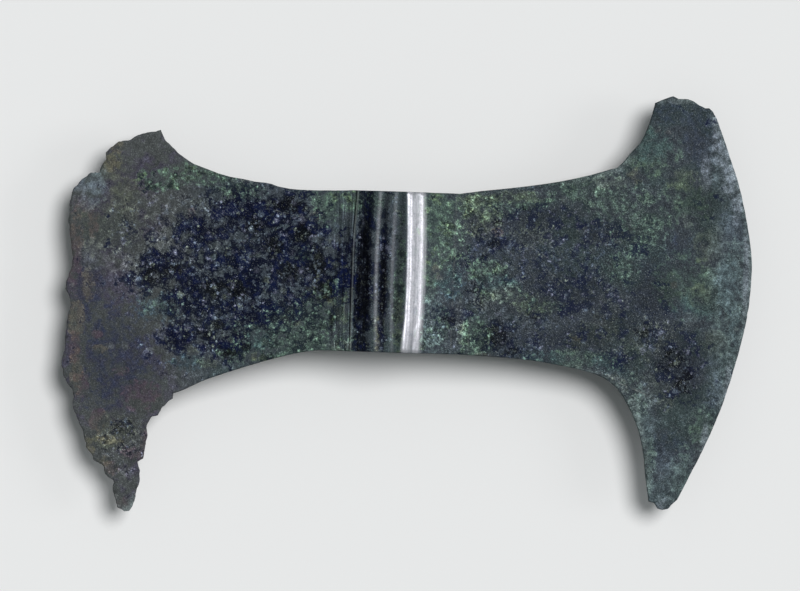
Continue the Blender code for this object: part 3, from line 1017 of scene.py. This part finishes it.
SLATE = paint(66, 73, 80)
WARM_SLATE = paint(78, 81, 80)
PLUM_SLATE = paint(70, 66, 82)
GREEN_SLATE = paint(62, 75, 75)
SEA_GREEN = paint(78, 96, 86)
BRIGHT_GREEN = paint(90, 114, 98)
TEAL = paint(54, 74, 84)
PALE_GREEN = paint(112, 124, 124)
MIST_BLUE = paint(106, 120, 128)
DUSK_BLUE = paint(38, 44, 64)
STONE_GREY = paint(70, 79, 90)
LILAC_GREY = paint(90, 93, 108)
DARK_SLATE = paint(24, 30, 38)
SHADED_GREEN = paint(44, 54, 58)
DEEP_DUSK = paint(24, 30, 52)
NAVY_GROUND = paint(6, 10, 31)
NAVY_SHEEN = paint(11, 20, 55)
SOOT = paint(4, 5, 11)
OLIVE_EARTH = paint(86, 92, 72)
MOSS_GREEN = paint(92, 108, 72)
OCHRE_EARTH = paint(104, 98, 76)
RUST_STAIN = paint(92, 74, 74)
BONE = paint(138, 143, 140)
CHALK = paint(140, 147, 160)
# Polished metal; on the moulding it is also the colour of the painted highlights.
BURNISHED_HIGHLIGHT_METAL = paint(226, 225, 233)

COLOUR_FACTOR, COLOUR_BELOW, COLOUR_ABOVE, COLOUR_RESULT = 0, 6, 7, 2


def layer(below, above, cover):
    """One colour laid over another, as far as the cover says."""
    return add_node(cover.tree, "ShaderNodeMix", {"data_type": "RGBA"},
                    {COLOUR_FACTOR: cover, COLOUR_BELOW: below, COLOUR_ABOVE: above},
                    COLOUR_RESULT)


print("sea green is", [round(level, 3) for level in SEA_GREEN[:3]], "in linear light")

# %% [markdown]
# Corrosion has no single grain size. Six noises, from blotches as wide as a thumb down to dust, are
# made once and shared by everything that follows. They read the Object coordinates in
# millimetres, so the pattern stays on the head wherever it is carried. Noise is built on a square
# grid that shows when two sizes line up, and turning some of them by an angle hides that.

# %% Noises and maps that all layers share
NOISES = {  # waves to the millimetre, detail, roughness, turn in degrees
    "broad": (0.07, 3.0, 0.55, 0.0),
    "blotch": (0.30, 3.0, 0.6, 0.0),
    "lump": (0.62, 4.0, 0.65, 64.0),
    "crumb": (1.3, 2.0, 0.6, 0.0),
    "grain": (2.0, 2.0, 0.6, 37.0),
    "fine": (3.4, 1.0, 0.6, 71.0),
}
BORDERS = {  # of each finish's patches: how ragged, and how soft
    "flecked": (1.0, 0.50), "dusk": (0.8, 0.50), "grime": (0.8, 0.50), "green": (1.0, 0.45),
    "teal": (0.8, 0.50), "olive": (1.2, 0.35), "ochre": (1.2, 0.35), "rust": (1.2, 0.35),
    "pale": (1.2, 0.35), "mist": (0.4, 0.50), "rubbed": (0.5, 0.50), "bright_rim": (0.6, 0.50),
    "scored": (0.6, 0.50),
}
BORDER_MIX = {"blotch": 2.2, "lump": 2.6, "grain": 0.8}  # how far each noise shifts a border
ZONES = {  # where along the head, in mm, a quality starts and where it is full
    "far_end": (-44.0, -66.0),  # the worn blade's warmer outer part
    "kept_blade": (0.0, 30.0),  # the darker, finer blade at +X
    "calm": (22.0, 58.0),  # its outer part, with weaker tints and fewer lumps
}
RIM_WIDTH = 2.4  # mm, of the paler metal along the edges


def turned(place, angle):
    """The place turned about Z, by degrees."""
    return add_node(place.tree, "ShaderNodeVectorRotate", {"rotation_type": "Z_AXIS"},
                    {"Vector": place, "Angle": math.radians(angle)})


def squeezed(place, along_x, along_y):
    """The place squeezed along X or Y, which draws noise out into streaks."""
    return add_node(place.tree, "ShaderNodeVectorMath", {"operation": "MULTIPLY"},
                    {0: place, 1: (along_x, along_y, 1.0)})


def finish_map(tree, name):
    """One of the maps that the mesh carries."""
    return add_node(tree, "ShaderNodeAttribute", {"attribute_name": name}, None, 2)


def mixed(skin, shares):
    """A sum of noises, each swinging around 0 by its share."""
    swings = [(getattr(skin, name) - 0.5) * share for name, share in shares.items()]
    return sum(swings[1:], swings[0])


def weighed(skin, plain, more):
    """A plain value that changes where some qualities of the skin lie."""
    for name, amount in more.items():
        plain = plain + amount * getattr(skin, name)
    return plain


def broken_up(skin, name, ragged, soft):
    """A finish's map with its border broken up by noise, and uneven inside."""
    cover = finish_map(skin.tree, name)
    cover = cover + skin.border * ragged * cover.fade(0.0, 0.3)
    return cover.fade(0.5 - soft, 0.5 + soft) * skin.uneven


def read_skin(tree):
    """Everything that the layers share, as wires under plain names."""
    skin = SimpleNamespace(tree=tree)
    place = add_node(tree, "ShaderNodeTexCoord", None, None, 3)
    skin.mm = scaled(place, 1 / MM)
    skin.x, skin.y, _ = coordinates_of(skin.mm)
    for name, (scale, detail, roughness, turn) in NOISES.items():
        setattr(skin, name, noise_in(tree, turned(skin.mm, turn), scale, detail, roughness))
    skin.uneven = 0.3 + 0.9 * (skin.blotch * 0.5 + skin.lump * 0.5).fade(0.36, 0.64)
    skin.border = mixed(skin, BORDER_MIX)
    for name, (ragged, soft) in BORDERS.items():
        setattr(skin, name, broken_up(skin, name, ragged, soft))
    for name in ("black", "burnished", "groove_dirt"):
        setattr(skin, name, finish_map(tree, name))
    bare = finish_map(tree, "bare") + mixed(skin, {"blotch": 2.0, "broad": 1.2})
    skin.bare = bare.fade(0.05, 1.0)
    edge = finish_map(tree, "rim_distance") / MM
    skin.bright_rim = skin.bright_rim * (1 - edge.fade(0.2, RIM_WIDTH))
    for name, (start, full) in ZONES.items():
        setattr(skin, name, skin.x.fade(start, full))
    return skin


skin = read_skin(bronze.node_tree)
print(len(NOISES), "noises and", len(PATCHES), "finishes ready")

# %% [markdown]
# The crust is the light part of the skin. One tint after another is laid over plain slate, each
# as thick as its patch allows. The whole is then made lighter and darker by all six noises
# together. They are added up as a power of e, because the eye judges light by ratios: a
# mottle that looks right on pale crust then also looks right on dark crust.

# %% Lay the crust
CRUST = (  # from the lowest up: the finish, its colour, and how thickly it lies
    ("dusk", DUSK_BLUE, 0.7),
    ("bare", STONE_GREY, 0.6),
    ("green", SEA_GREEN, 0.7),
    ("teal", TEAL, 0.6),
    ("olive", OLIVE_EARTH, 0.4),
    ("ochre", OCHRE_EARTH, 0.36),
    ("rust", RUST_STAIN, 0.34),
    ("pale", BONE, 0.22),
    ("mist", MIST_BLUE, 0.58),
    ("bright_rim", PALE_GREEN, 0.8),
    ("rubbed", CHALK, 0.50),
)
# How much each noise lightens and darkens the crust, and how much more some qualities do.
MOTTLE_MIX = {"blotch": 1.4, "lump": 2.0, "grain": 1.6, "fine": 2.8}
LUMPS_MORE = 1.4  # more of the lumps on green and flecked crust
CONTRAST, CONTRAST_MORE = 0.66, {"bare": 0.6, "flecked": 0.55, "kept_blade": 0.25}
BRIGHTNESS_MORE = {"kept_blade": -0.08, "calm": -0.05}
GRIME_SHADE = 0.42  # share of the light that grime and painted shade take from the crust
LIT_MIDDLE = 15.0  # mm, the middle of a painted light, a slightly lighter zone beside the moulding's foot at +X
LIT_HALF = (10.0, 4.0)  # mm from there, where the zone starts and where it is full


def crust_colour(skin):
    """The tints of the crust, without their light and shade."""
    greenish = (skin.broad + skin.blotch * 0.5).fade(0.62, 0.86) * 0.8
    colour = layer(SLATE, GREEN_SLATE, greenish)
    colour = layer(colour, WARM_SLATE, skin.far_end * 0.8)
    plum = (skin.blotch * 0.5 + skin.broad * 0.5).fade(0.44, 0.58) * 0.8
    colour = layer(colour, PLUM_SLATE, skin.far_end * plum)
    for finish, tint, thickness in CRUST:
        colour = layer(colour, tint, getattr(skin, finish) * thickness * (1 - 0.3 * skin.calm))
        if finish == "green":
            vivid = skin.green * (1 - 0.75 * skin.calm)
            colour = layer(colour, BRIGHT_GREEN, vivid * skin.lump.fade(0.5, 0.66) * 0.6)
            colour = layer(colour, MOSS_GREEN, vivid * skin.blotch.fade(0.52, 0.62) * 0.4)
    return colour


def mottle_of(skin):
    """How much lighter or darker each spot is, as a power of e."""
    lumpy = skin.green.at_least(skin.flecked) * (1 - skin.calm)
    mottle = mixed(skin, MOTTLE_MIX) + (skin.lump - 0.5) * LUMPS_MORE * lumpy
    return mottle * weighed(skin, CONTRAST, CONTRAST_MORE)


skin.mottle = mottle_of(skin)
# Painted light: the crust is made up to a tenth lighter beside the moulding's foot at +X.
painted_light_beside_foot = abs(skin.x - LIT_MIDDLE).fade(*LIT_HALF)
# Grime and painted shade darken the crust.
light = math.e ** skin.mottle * (1 - GRIME_SHADE * skin.grime) * (1 + 0.1 * painted_light_beside_foot)
for name, more in BRIGHTNESS_MORE.items():
    light = light * (1 + more * getattr(skin, name))
crust_layer = scaled(crust_colour(skin), light)
print(len(CRUST), "tints laid over the plain slates")

# %% [markdown]
# Between the crumbs of crust the dark metal shows. How much of it shows depends on the place: the
# worn blade's middle is nearly bare, the rest only flecked. The gaps follow the middle sizes of
# noise, so they have the size of the crumbs. On the bare part, grains of soil still cling to the
# metal. They are cells of a Voronoi texture: most cells are left out by a random number, and the
# others are soft discs, shaken out of round.

# %% Open gaps in the crust and scatter grains
GRAINS = (  # size in mm, the share of cells that hold one, how thickly it lies
    (2.4, 0.28, 0.55),
    (1.0, 0.40, 0.80),
)
SHAKE = 1.6  # mm
OPEN = 0.34  # how much of plain crust is gaps
OPEN_MORE = {"bare": 0.19, "flecked": 0.125, "black": 0.06, "grime": 0.08}  # on these finishes
OPEN_ON_GREEN = 0.07  # more on green crust, on the worn blade only
OPEN_SWING = 0.36  # how far the blotches change it
GAP_COVER, GAP_COVER_MORE = 0.8, {"bare": 0.15}  # how plainly the dark ground shows in a gap
DUST, DUST_MORE = 0.32, {"flecked": 0.36, "kept_blade": 0.2}  # how thickly dust lies
DISC = (0.62, 0.12)  # how far from its middle a grain starts, and is full, for a size of 1
CRUMB_MIX = {"lump": 0.52, "crumb": 0.32, "grain": 0.16}  # the noises whose low parts are gaps
GAP_BORDER = (-0.035, 0.07)  # how softly a gap ends, around its level


def dark_ground(skin):
    """The metal itself, from slate to navy and soot."""
    navy = layer(NAVY_GROUND, NAVY_SHEEN, skin.blotch.fade(0.46, 0.62) * 0.85)
    soot = (skin.black + (skin.lump - 0.5) * 3).fade(0.3, 1.0)
    ground = layer(layer(DARK_SLATE, SHADED_GREEN, skin.calm * 0.7), DEEP_DUSK, skin.dusk)
    return layer(ground, layer(navy, SOOT, soot), skin.bare.at_least(skin.black))


def gaps_of(skin):
    """Where the crust is open: 1 in a gap."""
    level = weighed(skin, OPEN, OPEN_MORE) + OPEN_SWING * (skin.blotch - 0.5)
    level = level + OPEN_ON_GREEN * skin.green * (1 - skin.kept_blade)
    height = mixed(skin, CRUMB_MIX) + 0.5
    return 1 - height.fade(*(level + shift for shift in GAP_BORDER))


def with_grains(skin, colour):
    """The colour with grains of soil on it, each a little different."""
    crumb_colour = Wire(skin.tree, skin.crumb.socket.node.outputs["Color"])
    shaken = add_node(skin.tree, "ShaderNodeVectorMath", {"operation": "MULTIPLY_ADD"},
                      {0: crumb_colour, 1: (SHAKE, SHAKE, SHAKE), 2: skin.mm})
    zone = skin.bare.at_least(skin.flecked * 0.8) * (1 - skin.groove_dirt)
    for size, share, thickness in GRAINS:
        cells = add_node(skin.tree, "ShaderNodeTexVoronoi", None,
                         {"Vector": shaken, "Scale": 1 / size}).socket.node.outputs
        numbers = add_node(skin.tree, "ShaderNodeSeparateColor", None,
                           {"Color": Wire(skin.tree, cells["Color"])}).socket.node.outputs
        chance, kind = Wire(skin.tree, numbers["Red"]), Wire(skin.tree, numbers["Green"])
        disc = Wire(skin.tree, cells["Distance"]).fade(*DISC)
        shown = (chance - 0.15 * skin.uneven).fade(share, share - 0.12)
        soil = layer(STONE_GREY, OLIVE_EARTH, kind.fade(0.72, 0.9) * 0.6)
        soil = layer(soil, LILAC_GREY, kind.fade(0.35, 0.15))
        soil = layer(soil, SEA_GREEN, skin.green.at_least(skin.teal))
        soil = scaled(soil, math.e ** (skin.mottle + (chance / share - 0.5) * 1.2))
        colour = layer(colour, soil, disc * shown * zone * thickness)
    return colour


gaps = gaps_of(skin)
colour = layer(crust_layer, dark_ground(skin), gaps * weighed(skin, GAP_COVER, GAP_COVER_MORE))
colour = with_grains(skin, colour)
dust = skin.fine.fade(0.62, 0.74) * (0.4 + 0.6 * skin.crumb.fade(0.40, 0.60))
dust_share = weighed(skin, DUST, DUST_MORE) * (1 - skin.groove_dirt)
colour = layer(colour, BONE, dust * dust_share)
print(len(GRAINS), "sizes of grain, and dust")

# %% [markdown]
# Then come the marks of use and of cleaning. Beside the moulding run fine parallel lines from
# filing, with one deeper scribed line among them. On the blades lie a few thin scratches. Each is
# a straight line from one place to another, and its mask is the distance to that line.

# %% Score, scratch and file the surface
SCRATCHES = (  # from x, y to x, y, then the width, all in mm, and how pale
    (18.0, -22, 18.4, 22, 0.7, 0.16),
    (22.6, -26, 23.2, -12, 0.8, 0.14),
    (65.0, -28.9, 75.5, -33.0, 0.35, 0.5),
    (62.5, -27.3, 72.0, -31.5, 0.3, 0.3),
    (32.5, 12.5, 45.7, 4.5, 0.4, 0.22),
    (38.0, 12.5, 50.0, 4.8, 0.3, 0.2),
    (43.0, 2.6, 53.0, -4.4, 0.35, 0.22),
    (-52.0, 17.5, -45.6, 11.6, 0.35, 0.3),
    (-34.4, 16.7, -24.0, 14.5, 0.3, 0.4),
    (-58.0, 3.0, -50.0, -3.0, 0.35, 0.18),
)
FILED_MIDDLE = -11.0  # mm, of the zone of file marks
FILED_HALF = 5.0
SCRIBED = -10.35
SCRIBED_LEAN = 0.85  # how far the scribed line bends to +X at its upper end


def distance_to_line(skin, start, end):
    """The distance in mm to a straight line between two places."""
    run_x, run_y = end[0] - start[0], end[1] - start[1]
    from_x, from_y = skin.x - start[0], skin.y - start[1]
    share = (from_x * run_x + from_y * run_y) / (run_x ** 2 + run_y ** 2)
    share = share.at_least(0.0).at_most(1.0)
    return ((from_x - share * run_x) ** 2.0 + (from_y - share * run_y) ** 2.0) ** 0.5


def with_scratches(skin, colour):
    """The colour with thin pale scratches, worn through in places."""
    worn_through = skin.crumb.fade(0.38, 0.60)
    for x0, y0, x1, y1, width, pale in SCRATCHES:
        line = 1 - distance_to_line(skin, (x0, y0), (x1, y1)).fade(width * 0.2, width * 0.5)
        colour = layer(colour, BONE, line * worn_through * pale)
    return colour


score_noise = noise_in(skin.tree, squeezed(turned(skin.mm, 40.0), 0.05, 1.0), 3.4, 2.0, 0.6)
scores = score_noise.fade(0.56, 0.70) * skin.scored
colour = layer(colour, BONE, scores * 0.22)
colour = with_scratches(skin, colour)
print(len(SCRATCHES), "single scratches")

# %% [markdown]
# The burnished bands go over all of that, because somebody polished them after burial. They also
# paint the lamps' highlights on the moulding. Dirt stays in streaks along the moulding. Metal has
# no colour of its own apart from what it mirrors, so here the Metallic input rises with the
# colour. The grooves between the ribs and the slopes that face -X hold black dirt and painted
# shade.

# %% Polish the moulding, with its painted highlights and painted shade
GROOVE_DARK_THINS = (-9.0, -17.0)  # mm along the moulding, where the dirt and painted shade go from full to thin
STAINED, SPECKED = 0.38, 0.5  # how much metal a stain hides, and a speck
LIP = 0.42  # mm from the scribed line to the lip that it raised

streak = noise_in(skin.tree, squeezed(skin.mm, 1.0, 0.08), 1.6, 3.0, 0.6)
# Black dirt in the grooves, and painted shade on the slopes that face -X, away from the lamps.
groove_dark_end = 1 - 0.75 * skin.y.fade(*GROOVE_DARK_THINS)
colour = layer(colour, SOOT, skin.groove_dirt * groove_dark_end * (0.75 + 0.25 * streak.fade(0.6, 0.4)))
stain = (streak * 0.4 + skin.grain * 0.3 + skin.lump * 0.3).fade(0.44, 0.60)
specks = skin.fine.fade(0.60, 0.70) * skin.crumb.fade(0.50, 0.62)
# Light metal in the bands: polish, and painted highlight where the lamps' highlights fall.
metal_and_highlight = skin.burnished * (1 - stain * STAINED) * (1 - specks * SPECKED)
colour = layer(colour, BURNISHED_HIGHLIGHT_METAL, metal_and_highlight)

filed_zone = abs(skin.x - FILED_MIDDLE).fade(FILED_HALF + 0.6, FILED_HALF - 0.8)
lines = noise_in(skin.tree, squeezed(skin.mm, 1.0, 0.04), 1.8, 3.0, 0.7)
colour = scaled(colour, math.e ** ((0.5 - lines) * filed_zone * 4.0))
file_marks = lines.fade(0.44, 0.56) * filed_zone
off_line = skin.x - SCRIBED - SCRIBED_LEAN * skin.y.fade(6.0, 24.0)
scribed_line = 1 - abs(off_line).fade(0.08, 0.24)
raised_lip = 1 - abs(off_line - LIP).fade(0.10, 0.30)
colour = layer(colour, BONE, raised_lip * 0.25)
colour = layer(colour, SOOT, scribed_line * 0.8)
print("scribed line at", SCRIBED, "mm")

# %% [markdown]
# Last, the same masks drive the gloss and the finest relief. On real bronze a green crust is dull
# and raised, and bare metal is smoother and a little sunk. Sharing the masks keeps a grain's
# colour, gloss and relief together, and this is what makes it look like a thing and not a stain.

# %% Join it all to the shader
BUMP_DEPTH = 0.16 * MM
BUMP_STRENGTH = 0.6
CRUST_ROUGHNESS = 0.62
METAL_ROUGHNESS = 0.33
MIRRORING = 0.02  # the dull crust hardly mirrors

raised = skin.green.at_least(skin.olive).at_least(skin.ochre).at_least(skin.pale)
roughness = CRUST_ROUGHNESS + 0.12 * raised + 0.2 * (skin.crumb - 0.5)
roughness = roughness - (roughness - METAL_ROUGHNESS) * skin.burnished.fade(0.0, 0.12)
relief = skin.crumb * 0.6 + skin.grain * 0.4 + raised * 0.3 - scores * 0.4 - gaps * 0.3
relief = relief * (1 - skin.burnished.fade(0.0, 0.4) * 0.9) - file_marks * 0.6 - scribed_line
bump = add_node(skin.tree, "ShaderNodeBump", None,
                {"Strength": BUMP_STRENGTH, "Distance": BUMP_DEPTH, "Height": relief})

shader = skin.tree.nodes["Principled BSDF"]
for name, wire in (("Base Color", colour), ("Roughness", roughness), ("Metallic", metal_and_highlight),
                   ("Normal", bump)):
    skin.tree.links.new(wire.socket, shader.inputs[name])
shader.inputs["Specular IOR Level"].default_value = MIRRORING
print("patina of", len(skin.tree.nodes), "nodes")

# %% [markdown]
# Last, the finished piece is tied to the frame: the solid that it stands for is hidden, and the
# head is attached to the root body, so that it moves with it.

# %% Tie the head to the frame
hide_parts("axe_head")
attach(head, "root")
